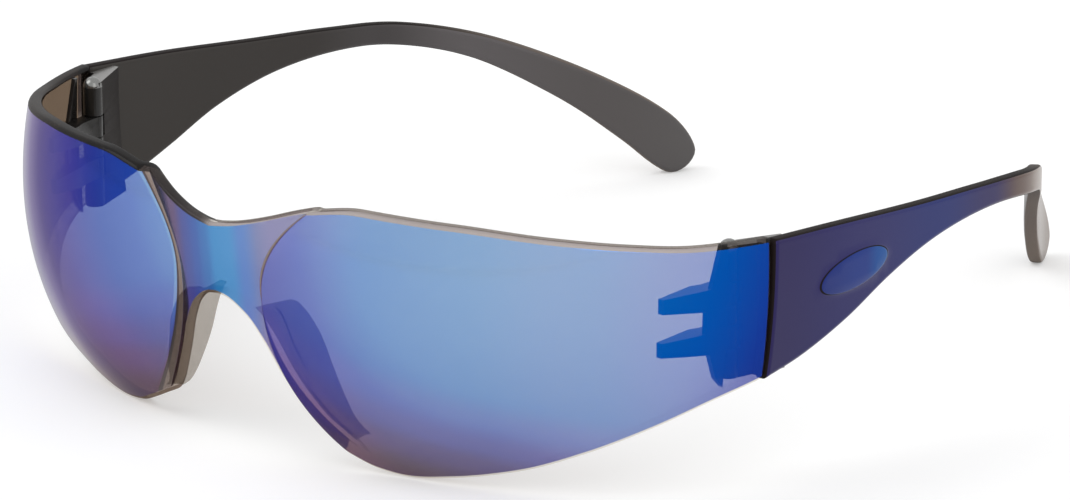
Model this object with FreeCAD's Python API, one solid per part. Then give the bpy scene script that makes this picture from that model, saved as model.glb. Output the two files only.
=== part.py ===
import FreeCAD, Part
import math
import os

V = FreeCAD.Vector

# Wraparound safety glasses. Millimetres, +Z up, the wearer looks along -Y,
# +X is the wearer's left. The origin is under the middle of the glasses, on
# the surface they stand on. All shapes are symmetric about the plane X = 0.

# ---- lens: two ocular shells with one bridge, moulded as one piece ----
LENS_THICKNESS = 2.3
OCULAR_RADIUS = 57.0          # outer surface, seen from above
OCULAR_RADIUS_UP = 54.4       # outer surface, seen from the side
OCULAR_CENTRE_X = 17.9        # half the distance between the two ocular centres
OCULAR_CENTRE_Y = -24.3
OCULAR_CENTRE_Z = 34.5
RAKE = 0.118                  # slope by which the shell's axis leans back upwards
SIDE_EDGE_Y = -36.1           # side edge of the lens, level with the ocular centre
SIDE_EDGE_LEAN = -0.02        # the side edge runs slightly forward towards its bottom
SIDE_FLATTENING = 0.6         # how much less the shell bows at its side edges
SIDE_DRAW = 0.5               # how far the side edges are drawn in
LENS_TOP = 44.0
LENS_SIDE_TOP = 39.1
LENS_SIDE_BOTTOM = 16.6
BRIDGE_TOP = 38.0
BRIDGE_HEIGHT = 12.0
BRIDGE_REACH = 1.6            # bridge stands this far ahead of the ocular apexes
BRIDGE_RADIUS = 28.0          # bridge surface, seen from above
BRIDGE_SLOPE = 0.13           # the bridge runs back downwards
CREASE_X = 8.7                # nearest the crease comes to the middle
CREASE_Z = 28.0
CREASE_RADIUS_ABOVE = 11.5
CREASE_RADIUS_BELOW = 26.7
CREASE_WIDTH = 2.4
NOSE_NOTCH_HALF_WIDTH = 17.3  # where the nose notch meets the bottom edge

# ---- nose pieces: a leaf on the inside of the lens, a flange towards the nose ----
NOSE_WALL = 1.5
NOSE_TOP_DROP = 1.8           # top of the nose pieces below the bridge
NOSE_BOTTOM = 4.2
NOSE_LEAF_WIDTH = 2.6
NOSE_FLANGE_DEPTH = 5.3
NOSE_INSET = 0.3              # from the notch edge of the lens
NOSE_FOOT_SWELL = 0.05        # how full the piece is at its foot, and at its top,
NOSE_TOP_SWELL = 0.56         # as places on an arch from 0 to 1
NOSE_FLARE = 0.28             # sideways run of the flange per unit of depth

# ---- hinges ----
HINGE_INSET = 5.95            # pin axis inside the lens's outer face
HINGE_AHEAD = 3.0             # pin axis ahead of the lens's side edge
BARREL_TOP_DROP = 0.5         # top of the barrel below the lens's side corner
BARREL_FOOT_DROP = 0.1        # foot of the barrel below the lower side corner
BARREL_DIAMETER = 3.2
PIN_DIAMETER = 1.2
PIN_PLAY = 0.05               # radial, between pin and temple knuckles
PIN_SUNK = 0.6                # top of the pin below the dome of the barrel
PIN_RAISED = 0.5              # foot of the pin above the barrel's foot
LUG_HEIGHT = 3.5
LUG_DROP = 6.6                # upper lug below the top of the barrel
LUG_PITCH = 7.0
LUG_PLAY = 0.1                # above and below each lug
SWING_PLAY = 0.35             # round the lug ends, and between block and lens
PLATE_THICKNESS = 0.8
PLATE_TOP_WIDTH = 0.8
PLATE_FOOT_WIDTH = 1.4
PLATE_WIDTH = 3.6
PLATE_TOP_DROP = 0.3          # top of the plate below the lens's side corner
PLATE_FOOT_DROP = 0.9         # foot of the plate below the lower side corner
PLATE_GAP = 1.0               # from the barrel forward to the plate
PLATE_SLANT = 0.8             # how far the front edge leans between the fingers
PLATE_FOOT = 1.6              # height of the plate's rounded-off foot
LUG_LEAN = 20.0               # turn of the lug's flanks about the pin
FINGER_REACH = 6.6            # forward of the plate, along the lens
FINGER_ROOT_DEPTH = 3.2
FINGER_TIP_DEPTH = 0.9
FINGER_TIP_HEIGHT = 2.4

# ---- temples ----
TEMPLE_THICKNESS = 2.4
TEMPLE_REACH = 119.4          # from the lens's side edge to the rearmost point
TEMPLE_STEP = 0.5             # its outer face stands outside the lens's
TEMPLE_CORNER_DROP = 0.3      # its front corners below the lens's side corners
WAIST_BACK = 57.8             # where the temple is slimmest, behind the lens
WAIST_TOP = 33.4
WAIST_HEIGHT = 4.2
BEND_BACK = 65.8              # where the temple starts to turn in
TAPER_IN = 3.9                # how far the straight run comes in before that
TURN_IN = 34.2                # how far in the tip lies
BLOCK_LENGTH = 6.0            # hinge block along the inside of the temple
BLOCK_STEP = 0.15             # the block starts behind the temple's front edge
MEDALLION_LENGTH = 18.0
MEDALLION_HEIGHT = 6.0
MEDALLION_RELIEF = 0.25
MEDALLION_BACK = 20.5
MEDALLION_CENTRE_Z = 29.0

# ---- fits ----
SEAT_GAP = 0.05               # between seated faces
EDGE_GAP = 0.4                # between the lens's side edge and the temple

# ---- worked out from the sizes above ----
BRIDGE_BOTTOM = BRIDGE_TOP - BRIDGE_HEIGHT
BARREL_RADIUS = BARREL_DIAMETER / 2
PIN_RADIUS = PIN_DIAMETER / 2
SEAT_DEPTH = LENS_THICKNESS + SEAT_GAP
NOSE_TOP = BRIDGE_BOTTOM - NOSE_TOP_DROP
BRIDGE_ANGLE = -math.degrees(math.asin(OCULAR_CENTRE_X / OCULAR_RADIUS))
SIDE_RADIUS = OCULAR_RADIUS - SIDE_DRAW
SIDE_ANGLE = math.degrees(math.acos((OCULAR_CENTRE_Y - SIDE_EDGE_Y) / SIDE_RADIUS))
SIDE_X = OCULAR_CENTRE_X + SIDE_RADIUS * math.sin(math.radians(SIDE_ANGLE))
TEMPLE_FACE_X = SIDE_X + TEMPLE_STEP
TEMPLE_FRONT_TOP = LENS_SIDE_TOP - TEMPLE_CORNER_DROP
TEMPLE_FRONT_BOTTOM = LENS_SIDE_BOTTOM - TEMPLE_CORNER_DROP
HINGE_X = SIDE_X - HINGE_INSET
HINGE_Y = SIDE_EDGE_Y - HINGE_AHEAD
HINGE_TOP = LENS_SIDE_TOP - BARREL_TOP_DROP
HINGE_BOTTOM = LENS_SIDE_BOTTOM - BARREL_FOOT_DROP
UPPER_LUG_TOP = HINGE_TOP - LUG_DROP
LOWER_LUG_TOP = UPPER_LUG_TOP - LUG_PITCH
LUG_TOPS = (UPPER_LUG_TOP, LOWER_LUG_TOP)
PLATE_TOP = LENS_SIDE_TOP - PLATE_TOP_DROP
PLATE_BOTTOM = LENS_SIDE_BOTTOM - PLATE_FOOT_DROP
FRONT_ANGLE = 40.0            # the shell's columns are upright up to here
FLAT_START = 28.0             # and from here on it bows less
SMOOTH_START = 25.0
MARGIN = 2.0                  # by which a cutting shape passes what it cuts
OUTLINE_PARTS = 8             # faces round the curved rim of a temple


# ---- helpers ----

def smooth(value, low, high):
    """0 below low, 1 above high, a smooth step between."""
    share = min(1.0, max(0.0, (value - low) / (high - low)))
    return share * share * (3 - 2 * share)


def through(points, value):
    """Height at value on a smooth curve through points, without overshoot."""
    slopes = [(b[1] - a[1]) / (b[0] - a[0]) for a, b in zip(points, points[1:])]
    tangents = [slopes[0]]
    for before, after in zip(slopes, slopes[1:]):
        same_way = before * after > 0
        tangents.append(2 * before * after / (before + after) if same_way else 0.0)
    tangents.append(slopes[-1])
    i = 0
    while i < len(points) - 2 and value > points[i + 1][0]:
        i += 1
    step = points[i + 1][0] - points[i][0]
    t = (value - points[i][0]) / step
    return ((2 * t**3 - 3 * t**2 + 1) * points[i][1]
            + (t**3 - 2 * t**2 + t) * step * tangents[i]
            + (3 * t**2 - 2 * t**3) * points[i + 1][1]
            + (t**3 - t**2) * step * tangents[i + 1])


def spread(low, high, count):
    return [low + (high - low) * i / (count - 1) for i in range(count)]


def slab(outer_grid, inner_grid):
    """A closed solid between two grids of points with the same layout."""
    sides = []
    for grid in (outer_grid, inner_grid):
        face = Part.BSplineSurface()
        face.interpolate(grid)
        sides.append(face.toShape())
    faces = list(sides)
    for outer_edge, inner_edge in zip(sides[0].Edges, sides[1].Edges):
        faces += Part.makeRuledSurface(outer_edge, inner_edge).Faces
    shell = Part.makeShell(faces)
    shell.sewShape(0.001)
    solid = Part.makeSolid(shell.Shells[0])
    if solid.Volume < 0:
        solid.reverse()
    return solid


def prism_across(outline, low, high):
    """A prism along X over a closed outline of (y, z) edges."""
    face = Part.Face(Part.Wire(outline))
    face.translate(V(low, 0, 0))
    return face.extrude(V(high - low, 0, 0))


def upright_prism(corners, low, high):
    wire = Part.makePolygon([V(x, y, low) for x, y in corners + corners[:1]])
    return Part.Face(wire).extrude(V(0, 0, high - low))


def upright_cylinder(x, y, radius, low, high):
    return Part.makeCylinder(radius, high - low, V(x, y, low))


def mirrored(shape):
    return shape.mirror(V(0, 0, 0), V(1, 0, 0))


# ---- the lens surface ----

def axis_y(z):
    return OCULAR_CENTRE_Y + RAKE * (z - OCULAR_CENTRE_Z)


def side_edge_y(z):
    return SIDE_EDGE_Y + SIDE_EDGE_LEAN * (OCULAR_CENTRE_Z - z)


def shell_reach(angle, z, depth):
    """Distance of the shell from its upright axis, at a height."""
    radius = OCULAR_RADIUS - depth
    drop = 1 - math.sqrt(1 - ((z - OCULAR_CENTRE_Z) / (OCULAR_RADIUS_UP - depth)) ** 2)
    side = smooth(angle, FLAT_START, SIDE_ANGLE)
    return radius * (1 - (1 - SIDE_FLATTENING * side) * drop) - SIDE_DRAW * side


def side_angle(z, depth, y):
    """Angle at which the shell reaches back to y."""
    return math.degrees(math.acos((axis_y(z) - y) / shell_reach(SIDE_ANGLE, z, depth)))


def crease_x(z):
    """Half width of the bridge, up to the crease that rings each ocular."""
    curl = CREASE_RADIUS_ABOVE if z > CREASE_Z else CREASE_RADIUS_BELOW
    return CREASE_X + (z - CREASE_Z) ** 2 / (2 * curl)


def lens_point(column, z, depth=0.0, past_edge=0.0):
    """A point of the +X half, depth inside the outer surface.

    column is the angle from straight ahead. Beyond FRONT_ANGLE the columns
    lean so that the last one, at SIDE_ANGLE, follows the lens's side edge.
    """
    angle = column
    if column > FRONT_ANGLE:
        last = side_angle(z, depth, side_edge_y(z) + past_edge)
        share = (column - FRONT_ANGLE) / (SIDE_ANGLE - FRONT_ANGLE)
        angle = FRONT_ANGLE + share * (last - FRONT_ANGLE)
    reach = shell_reach(angle, z, depth)
    radius = OCULAR_RADIUS - depth
    across = radius + (reach - radius) * smooth(angle, 0.0, SMOOTH_START)
    across *= math.sin(math.radians(angle))
    ahead = math.sqrt(reach ** 2 - across ** 2)
    if column > BRIDGE_ANGLE:
        x = OCULAR_CENTRE_X + across
    else:
        x = 0.0
    y = axis_y(z) - ahead
    apex_y = OCULAR_CENTRE_Y - OCULAR_RADIUS
    bridge_y = (apex_y - BRIDGE_REACH + depth + x ** 2 / (2 * BRIDGE_RADIUS)
                + BRIDGE_SLOPE * (BRIDGE_TOP - z))
    half = CREASE_WIDTH / 2
    share = 1 - smooth(x, crease_x(z) - half, crease_x(z) + half)
    return V(x, y + (bridge_y - y) * share, z)


def column_at(x):
    """The upright column that passes x at the level of the ocular centre."""
    return math.degrees(math.asin((x - OCULAR_CENTRE_X) / OCULAR_RADIUS))


def lens_top(column):
    rise = LENS_TOP - BRIDGE_TOP
    fall = LENS_TOP - LENS_SIDE_TOP
    bridge = [(0.235, 0.12), (0.519, 0.35), (0.809, 0.63), (1.0, 0.77)]
    side = [(0.115, 0.0), (0.320, 0.08), (0.525, 0.38), (0.690, 0.67), (0.830, 0.90)]
    points = [(BRIDGE_ANGLE, BRIDGE_TOP)]
    points += [(BRIDGE_ANGLE * (1 - at), BRIDGE_TOP + rise * share) for at, share in bridge]
    points += [(SIDE_ANGLE * at, LENS_TOP - fall * share) for at, share in side]
    return through(points + [(SIDE_ANGLE, LENS_SIDE_TOP)], column)


def lens_bottom(column):
    notch = column_at(NOSE_NOTCH_HALF_WIDTH)
    nose = [(0.0, 1.0), (0.096, 0.99), (0.30, 0.90), (0.446, 0.755), (0.588, 0.55),
            (0.729, 0.385), (0.864, 0.255), (1.0, 0.17)]
    side = [(0.190, 0.0), (0.342, 0.062), (0.503, 0.208), (0.634, 0.428), (0.758, 0.66),
            (0.888, 0.878), (1.0, 1.0)]
    points = [(BRIDGE_ANGLE + (notch - BRIDGE_ANGLE) * at, BRIDGE_BOTTOM * share)
              for at, share in nose]
    run = SIDE_ANGLE - notch
    points += [(notch + run * 0.044, 0.10 * BRIDGE_BOTTOM),
               (notch + run * 0.107, 0.025 * BRIDGE_BOTTOM)]
    points += [(notch + run * at, LENS_SIDE_BOTTOM * share) for at, share in side]
    return through(points, column)


def lens_between(outer_depth, inner_depth):
    """The wall of the whole lens between two depths."""
    columns = spread(BRIDGE_ANGLE, 3.0, 40) + spread(5.0, SIDE_ANGLE, 24)

    def skin(depth):
        half = [[lens_point(c, z, depth) for z in spread(lens_bottom(c), lens_top(c), 31)]
                for c in columns]
        other = [[V(-p.x, p.y, p.z) for p in column] for column in half[:0:-1]]
        return other + half

    return slab(skin(outer_depth), skin(inner_depth))


def lens():
    return lens_between(0.0, LENS_THICKNESS)


def lens_side_room(play, gap):
    """The space the side of the lens takes up, with play inside and a gap behind it."""
    def skin(depth):
        return [[lens_point(c, z, depth, past_edge=gap)
                 for z in spread(PLATE_BOTTOM - 4 * MARGIN, PLATE_TOP + 2 * MARGIN, 7)]
                for c in spread(FRONT_ANGLE, SIDE_ANGLE, 12)]

    return slab(skin(-MARGIN), skin(LENS_THICKNESS + play))


# ---- nose pieces ----

def notch_column(z):
    """Column at which the nose notch has the height z."""
    low, high = BRIDGE_ANGLE, 2.0
    for _ in range(40):
        middle = (low + high) / 2
        if lens_bottom(middle) > z:
            low = middle
        else:
            high = middle
    return low


def nose_section(z, share):
    """Level cross-section of the nose piece: a leaf on the lens and a flange."""
    rise = NOSE_TOP_SWELL - NOSE_FOOT_SWELL
    swell = math.sin(math.pi * (NOSE_FOOT_SWELL + rise * share))
    corner = lens_point(notch_column(z), z).x + NOSE_INSET
    root = corner + NOSE_WALL * (1 + NOSE_FLARE)
    far = root + NOSE_LEAF_WIDTH * swell
    depth = NOSE_WALL + NOSE_FLANGE_DEPTH * swell
    behind = SEAT_DEPTH + NOSE_WALL
    seat = lens_point(column_at(corner), z, LENS_THICKNESS / 2)
    tip = seat + V(NOSE_FLARE * depth, LENS_THICKNESS / 2 + depth, 0)
    points = [seat, lens_point(column_at((corner + far) / 2), z, LENS_THICKNESS / 2),
              lens_point(column_at(far), z, LENS_THICKNESS / 2),
              lens_point(column_at(far), z, SEAT_DEPTH + NOSE_WALL / 2),
              lens_point(column_at((root + far) / 2), z, behind),
              lens_point(column_at(root), z, behind),
              tip + V(NOSE_WALL, 0, 0), tip]
    return Part.makePolygon(points + points[:1])


def nose_piece():
    """A leaf that lies on the lens beside the notch, and a flange towards the nose."""
    levels = spread(NOSE_BOTTOM, NOSE_TOP, 9)
    sections = [nose_section(z, i / (len(levels) - 1)) for i, z in enumerate(levels)]
    return Part.makeLoft(sections, True, True).cut(lens_between(-MARGIN, SEAT_DEPTH))


# ---- hinge brackets, seated on the inside of the lens ----

def bracket_outline():
    """Corners (y, z) of the plate: slanted front edge, straight rear edge."""
    rear = HINGE_Y - BARREL_RADIUS - PLATE_GAP
    front = rear - PLATE_WIDTH
    arm_low = LOWER_LUG_TOP - LUG_HEIGHT
    return [(rear, PLATE_TOP), (rear - PLATE_TOP_WIDTH, PLATE_TOP),
            (front + PLATE_SLANT, UPPER_LUG_TOP), (front, UPPER_LUG_TOP - LUG_HEIGHT),
            (front, LOWER_LUG_TOP), (front + PLATE_SLANT, arm_low),
            (rear - PLATE_FOOT_WIDTH, PLATE_BOTTOM + PLATE_FOOT), (rear, PLATE_BOTTOM)]


def seat_x(y, z, depth):
    """X of the shell's side at y, depth inside its outer surface."""
    angle = SIDE_ANGLE
    for _ in range(6):
        angle = math.degrees(math.acos((axis_y(z) - y) / shell_reach(angle, z, depth)))
    return OCULAR_CENTRE_X + shell_reach(angle, z, depth) * math.sin(math.radians(angle))


def bracket_plate():
    """The plate, bowed with the lens, cut to its side view."""
    corners = bracket_outline()
    wire = Part.makePolygon([V(0, y, z) for y, z in corners + corners[:1]])
    ys = spread(corners[3][0] - MARGIN, corners[0][0] + MARGIN, 8)
    zs = spread(PLATE_BOTTOM - MARGIN, PLATE_TOP + MARGIN, 8)
    band = slab([[V(seat_x(y, z, LENS_THICKNESS / 2), y, z) for z in zs] for y in ys],
                [[V(seat_x(y, z, SEAT_DEPTH + PLATE_THICKNESS), y, z) for z in zs]
                 for y in ys])
    return band.common(prism_across(wire.Edges, 0.0, SIDE_X))


def bracket_finger(front, top):
    """A tapered finger that reaches forward from the plate along the lens."""
    middle = top - LUG_HEIGHT / 2
    root, tip = front + PLATE_WIDTH / 2, front - FINGER_REACH
    plan = [(root, FINGER_ROOT_DEPTH), (front, FINGER_ROOT_DEPTH), (tip, FINGER_TIP_DEPTH)]
    corners = [(seat_x(y, middle, SEAT_DEPTH + depth), y) for y, depth in plan]
    corners += [(seat_x(y, middle, LENS_THICKNESS / 2), y) for y in (tip, root)]
    side = [(root, top), (front, top), (tip, middle + FINGER_TIP_HEIGHT / 2),
            (tip, middle - FINGER_TIP_HEIGHT / 2), (front, top - LUG_HEIGHT),
            (root, top - LUG_HEIGHT)]
    wire = Part.makePolygon([V(0, y, z) for y, z in side + side[:1]])
    return upright_prism(corners, top - LUG_HEIGHT, top).common(
        prism_across(wire.Edges, 0.0, SIDE_X))


def hinge_bracket():
    rear = bracket_outline()[0][0]
    body = bracket_plate()
    for top in LUG_TOPS:
        body = body.fuse([bracket_finger(rear - PLATE_WIDTH, top),
                          hinge_lug(top - LUG_HEIGHT, top, rear)])
    bore = upright_cylinder(HINGE_X, HINGE_Y, PIN_RADIUS, HINGE_BOTTOM, HINGE_TOP)
    return body.cut([bore, lens_side_room(SEAT_GAP, EDGE_GAP)]).removeSplitter()


def hinge_lug(low, high, plate_rear):
    """An arm from the plate back to the pin, rounded about the pin."""
    y_front = plate_rear - PLATE_WIDTH / 2
    depth = SEAT_DEPTH + PLATE_THICKNESS
    middle = (low + high) / 2
    inner = seat_x(y_front, middle, SEAT_DEPTH + FINGER_ROOT_DEPTH)
    outer = seat_x(y_front, middle, depth)
    lean = math.radians(LUG_LEAN)
    side = (HINGE_X + BARREL_RADIUS * math.cos(lean), HINGE_Y + BARREL_RADIUS * math.sin(lean))
    far = (HINGE_X - BARREL_RADIUS * math.cos(lean), HINGE_Y - BARREL_RADIUS * math.sin(lean))
    corners = [far, (inner, y_front), (outer, y_front), side]
    arm = upright_prism(corners, low, high)
    return arm.fuse(upright_cylinder(HINGE_X, HINGE_Y, BARREL_RADIUS, low, high))


def hinge_pin():
    return upright_cylinder(HINGE_X, HINGE_Y, PIN_RADIUS, HINGE_BOTTOM + PIN_RAISED,
                            HINGE_TOP - PIN_SUNK)


# ---- temples ----

def temple_x(back):
    """X of the temple's outer face, level with the ocular centre."""
    run = TEMPLE_REACH - BEND_BACK
    turn = TURN_IN - TAPER_IN
    bend = [(0.0, 0.0), (0.075, 0.023), (0.149, 0.059), (0.224, 0.116), (0.299, 0.191),
            (0.364, 0.267), (0.429, 0.347), (0.578, 0.551), (0.690, 0.696), (0.802, 0.828),
            (0.914, 0.937), (1.0, 1.0), (1.08, 1.057)]
    straight = [(-2 * MARGIN, 0.0), (0.23 * BEND_BACK, 0.05), (0.63 * BEND_BACK, 0.41)]
    points = [(at, -TAPER_IN * share) for at, share in straight]
    points += [(BEND_BACK + run * at, -TAPER_IN - turn * share) for at, share in bend]
    return TEMPLE_FACE_X + through(points, back)


def temple_point(back, z, depth):
    """A point of the temple wall, depth inside its outer face."""
    bow = SIDE_RADIUS - shell_reach(SIDE_ANGLE, z, 0.0)
    fade = 1 - smooth(back, 0.0, WAIST_BACK)
    step = 0.5
    slope = (temple_x(back + step) - temple_x(back - step)) / (2 * step)
    length = math.hypot(1.0, slope)
    y = SIDE_EDGE_Y + back
    return V(temple_x(back) - bow * fade - depth / length, y + depth * slope / length, z)


def temple_outline():
    """Side view of the temple as a closed wire in the (y, z) plane."""
    waist_bottom = WAIST_TOP - WAIST_HEIGHT
    run = TEMPLE_REACH - WAIST_BACK
    front_drop = TEMPLE_FRONT_TOP - WAIST_TOP
    front_rise = waist_bottom - TEMPLE_FRONT_BOTTOM
    top = [(0.0, TEMPLE_FRONT_TOP), (0.32 * WAIST_BACK, TEMPLE_FRONT_TOP - 0.28 * front_drop),
           (0.68 * WAIST_BACK, TEMPLE_FRONT_TOP - 0.68 * front_drop)]
    tail = [(0.0, 1.0), (0.255, 0.943), (0.474, 0.835), (0.682, 0.644), (0.885, 0.392),
            (0.951, 0.275), (0.99, 0.165), (1.0, 0.10)]
    top += [(WAIST_BACK + run * at, WAIST_TOP * share) for at, share in tail]
    tail = [(0.987, 0.055), (0.960, 0.012), (0.925, 0.001), (0.885, 0.055), (0.794, 0.25),
            (0.649, 0.531), (0.44, 0.825), (0.214, 0.959), (0.0, 1.0)]
    bottom = [(WAIST_BACK + run * at, waist_bottom * share) for at, share in tail]
    rise = [(0.75, 0.93), (0.53, 0.70), (0.33, 0.365), (0.145, 0.115), (0.0, 0.0)]
    bottom += [(WAIST_BACK * at, TEMPLE_FRONT_BOTTOM + front_rise * share)
               for at, share in rise]
    points = [V(0, SIDE_EDGE_Y + back, z) for back, z in top + bottom]
    for end in (0, -1):
        points[end].y = side_edge_y(points[end].z) + EDGE_GAP
    curve = Part.BSplineCurve()
    curve.interpolate(points)
    ends = spread(curve.FirstParameter, curve.LastParameter, OUTLINE_PARTS + 1)
    edges = [Part.Edge(curve, a, b) for a, b in zip(ends, ends[1:])]
    return edges + [Part.makeLine(points[-1], points[0])]


def temple_wall(outer, inner):
    """The temple's curved wall between two depths, over its whole side view."""
    backs = spread(-2 * MARGIN, TEMPLE_REACH + MARGIN, 34)
    heights = spread(-MARGIN, TEMPLE_FRONT_TOP + MARGIN, 7)
    return slab([[temple_point(b, z, outer) for z in heights] for b in backs],
                [[temple_point(b, z, inner) for z in heights] for b in backs])


def medallion():
    """A bare raised oval on the outside of the temple."""
    centre = V(0, SIDE_EDGE_Y + MEDALLION_BACK, MEDALLION_CENTRE_Z)
    oval = Part.Ellipse(centre, MEDALLION_LENGTH / 2, MEDALLION_HEIGHT / 2)
    ends = spread(0.0, 2 * math.pi, 5)
    edges = [Part.Edge(oval, a, b) for a, b in zip(ends, ends[1:])]
    for edge in edges:
        edge.rotate(centre, V(1, 0, 0), 90)
        edge.rotate(centre, V(0, 0, 1), 90)
    column = prism_across(edges, HINGE_X, TEMPLE_FACE_X + MARGIN)
    return column.common(temple_wall(-MEDALLION_RELIEF, TEMPLE_THICKNESS / 2))


def hinge_block():
    """The block inside the temple's front end that carries the knuckles."""
    face_back = SIDE_EDGE_Y + BLOCK_LENGTH
    wall_x = TEMPLE_FACE_X - TEMPLE_THICKNESS / 2
    front_y = side_edge_y(HINGE_BOTTOM) + EDGE_GAP + BLOCK_STEP
    corners = [(HINGE_X - BARREL_RADIUS, HINGE_Y), (HINGE_X + BARREL_RADIUS, HINGE_Y),
               (wall_x, front_y), (wall_x, face_back), (wall_x - TEMPLE_THICKNESS, face_back)]
    block = upright_prism(corners, HINGE_BOTTOM, HINGE_TOP - BARREL_RADIUS / 2)
    wall = temple_wall(TEMPLE_THICKNESS / 2, TEMPLE_FACE_X - HINGE_X + 2 * BARREL_DIAMETER)
    block = block.common(wall).cut(lens_side_room(SWING_PLAY, EDGE_GAP + BLOCK_STEP))
    barrel = upright_cylinder(HINGE_X, HINGE_Y, BARREL_RADIUS, HINGE_BOTTOM,
                              HINGE_TOP - BARREL_RADIUS / 2)
    dome = Part.makeSphere(BARREL_RADIUS, V(HINGE_X, HINGE_Y, HINGE_TOP - BARREL_RADIUS))
    dome = dome.common(upright_cylinder(HINGE_X, HINGE_Y, BARREL_RADIUS,
                                        HINGE_TOP - BARREL_RADIUS, HINGE_TOP))
    return block.fuse([barrel, dome])


def temple():
    outline = temple_outline()
    side_view = prism_across(outline, 0.0, TEMPLE_FACE_X + MARGIN)
    blade = temple_wall(0.0, TEMPLE_THICKNESS).common(side_view)
    body = blade.fuse([medallion(), hinge_block()])
    slot_radius = BARREL_RADIUS + SWING_PLAY
    for top in LUG_TOPS:
        body = body.cut(upright_cylinder(HINGE_X, HINGE_Y, slot_radius,
                                         top - LUG_HEIGHT - LUG_PLAY, top + LUG_PLAY))
    bore = upright_cylinder(HINGE_X, HINGE_Y, PIN_RADIUS + PIN_PLAY, HINGE_BOTTOM,
                            HINGE_TOP - PIN_SUNK + PIN_PLAY)
    return body.cut(bore).removeSplitter()


def save(shape, node):
    shape.exportStep(os.path.join("parts", node + ".step"))
    box = shape.optimalBoundingBox()
    print(f"{node:22s} solids {len(shape.Solids)} valid {shape.isValid()} "
          f"volume {shape.Volume:9.2f} box {box.XMin:.2f} {box.YMin:.2f} {box.ZMin:.2f} "
          f"{box.XMax:.2f} {box.YMax:.2f} {box.ZMax:.2f}")


def main():
    os.makedirs("parts", exist_ok=True)
    save(lens(), "lens")
    for name, make in (("nose_piece", nose_piece), ("hinge_bracket", hinge_bracket),
                       ("hinge_pin", hinge_pin), ("temple", temple)):
        left = make()
        save(left, name + "_left")
        save(mirrored(left), name + "_right")


main()
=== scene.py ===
import math

import bmesh
import bpy
import numpy as np
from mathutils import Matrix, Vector, geometry


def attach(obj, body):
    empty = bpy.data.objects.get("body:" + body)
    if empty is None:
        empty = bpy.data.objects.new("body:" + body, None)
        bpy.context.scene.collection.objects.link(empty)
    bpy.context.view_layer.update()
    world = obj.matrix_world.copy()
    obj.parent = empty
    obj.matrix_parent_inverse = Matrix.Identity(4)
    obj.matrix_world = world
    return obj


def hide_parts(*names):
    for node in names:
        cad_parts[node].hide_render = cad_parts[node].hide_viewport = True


# Wraparound safety glasses with a mirror coat. The shape rules below work in
# millimetres, in the frame of the model; meshes are scaled to metres as they
# are made. The wearer looks along -Y and +X is the wearer's left.

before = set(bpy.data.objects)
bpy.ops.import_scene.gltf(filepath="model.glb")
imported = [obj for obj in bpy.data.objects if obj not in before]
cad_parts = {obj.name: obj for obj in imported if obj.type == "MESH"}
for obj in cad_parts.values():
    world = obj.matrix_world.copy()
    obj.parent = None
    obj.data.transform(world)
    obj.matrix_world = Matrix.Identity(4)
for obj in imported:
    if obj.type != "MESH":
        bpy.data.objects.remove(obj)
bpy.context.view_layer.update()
MM = 0.001

# ---- lens ----
LENS_THICKNESS = 2.3
OCULAR_RADIUS = 57.0
OCULAR_RADIUS_UP = 54.4
OCULAR_CENTRE_X = 17.9
OCULAR_CENTRE_Y = -24.3
OCULAR_CENTRE_Z = 34.5
RAKE = 0.118
SIDE_EDGE_Y = -36.1
SIDE_EDGE_LEAN = -0.02
SIDE_FLATTENING = 0.6
FRONT_ANGLE = 40.0            # past here the columns lean to meet the side edge
FLAT_START = 28.0             # from here the shell flattens towards its side edge
SMOOTH_START = 25.0           # up to here the front keeps its full radius across
SIDE_DRAW = 0.5
LENS_TOP = 44.0
LENS_SIDE_TOP = 39.1
LENS_SIDE_BOTTOM = 16.6
BRIDGE_TOP = 38.0
BRIDGE_BOTTOM = 26.0
BRIDGE_REACH = 1.6
BRIDGE_RADIUS = 28.0
BRIDGE_SLOPE = 0.13
CREASE_X = 8.7
CREASE_Z = 28.0
CREASE_RADIUS_ABOVE = 11.5
CREASE_RADIUS_BELOW = 26.7
CREASE_WALL = 0.8             # width of the slanted wall round each ocular
CREASE_SHADE_WIDTH = 0.2             # width of the painted shade line at the foot of that wall
CREASE_GUARD = 0.15           # between the crease and the first mesh line outside it
CREASE_START = 1.5            # the creases run between these heights
CREASE_END = 42.6
INSIDE_CREASE = 2.6           # the same step, softer, on the inside
NOSE_NOTCH_HALF_WIDTH = 17.3
EDGE_ROUNDING = 0.6
LENS_GRID = 1.2
LENS_OUTLINE_STEP = 0.8

# ---- temples ----
TEMPLE_THICKNESS = 2.4
TEMPLE_REACH = 119.4
TEMPLE_STEP = 0.5
TEMPLE_FRONT_TOP = 38.8
TEMPLE_FRONT_BOTTOM = 16.3
TEMPLE_ROUNDING = 0.7
TEMPLE_GRID = 1.6
TEMPLE_OUTLINE_STEP = 0.9
WAIST_BACK = 57.8
WAIST_TOP = 33.4
WAIST_HEIGHT = 4.2
BEND_BACK = 65.8
TAPER_IN = 3.9
TURN_IN = 34.2
EDGE_GAP = 0.4
MEDALLION_LENGTH = 18.0
MEDALLION_HEIGHT = 6.0
MEDALLION_RELIEF = 0.25
MEDALLION_BACK = 20.5
MEDALLION_CENTRE_Z = 29.0
MEDALLION_TILT = math.radians(3.6)
MEDALLION_RING_FROM = 0.97    # its dark ring begins at this share of its half length

# ---- nose pieces ----
NOSE_WALL = 1.5
NOSE_TOP = 24.2
NOSE_BOTTOM = 4.2
NOSE_LEAF_WIDTH = 2.6
NOSE_FLANGE_DEPTH = 5.3
NOSE_INSET = 0.3
NOSE_FOOT_SWELL = 0.05
NOSE_TOP_SWELL = 0.56
NOSE_FLARE = 0.28
NOSE_ROUNDING = 0.35
SEAT_DEPTH = LENS_THICKNESS + 0.08

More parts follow.
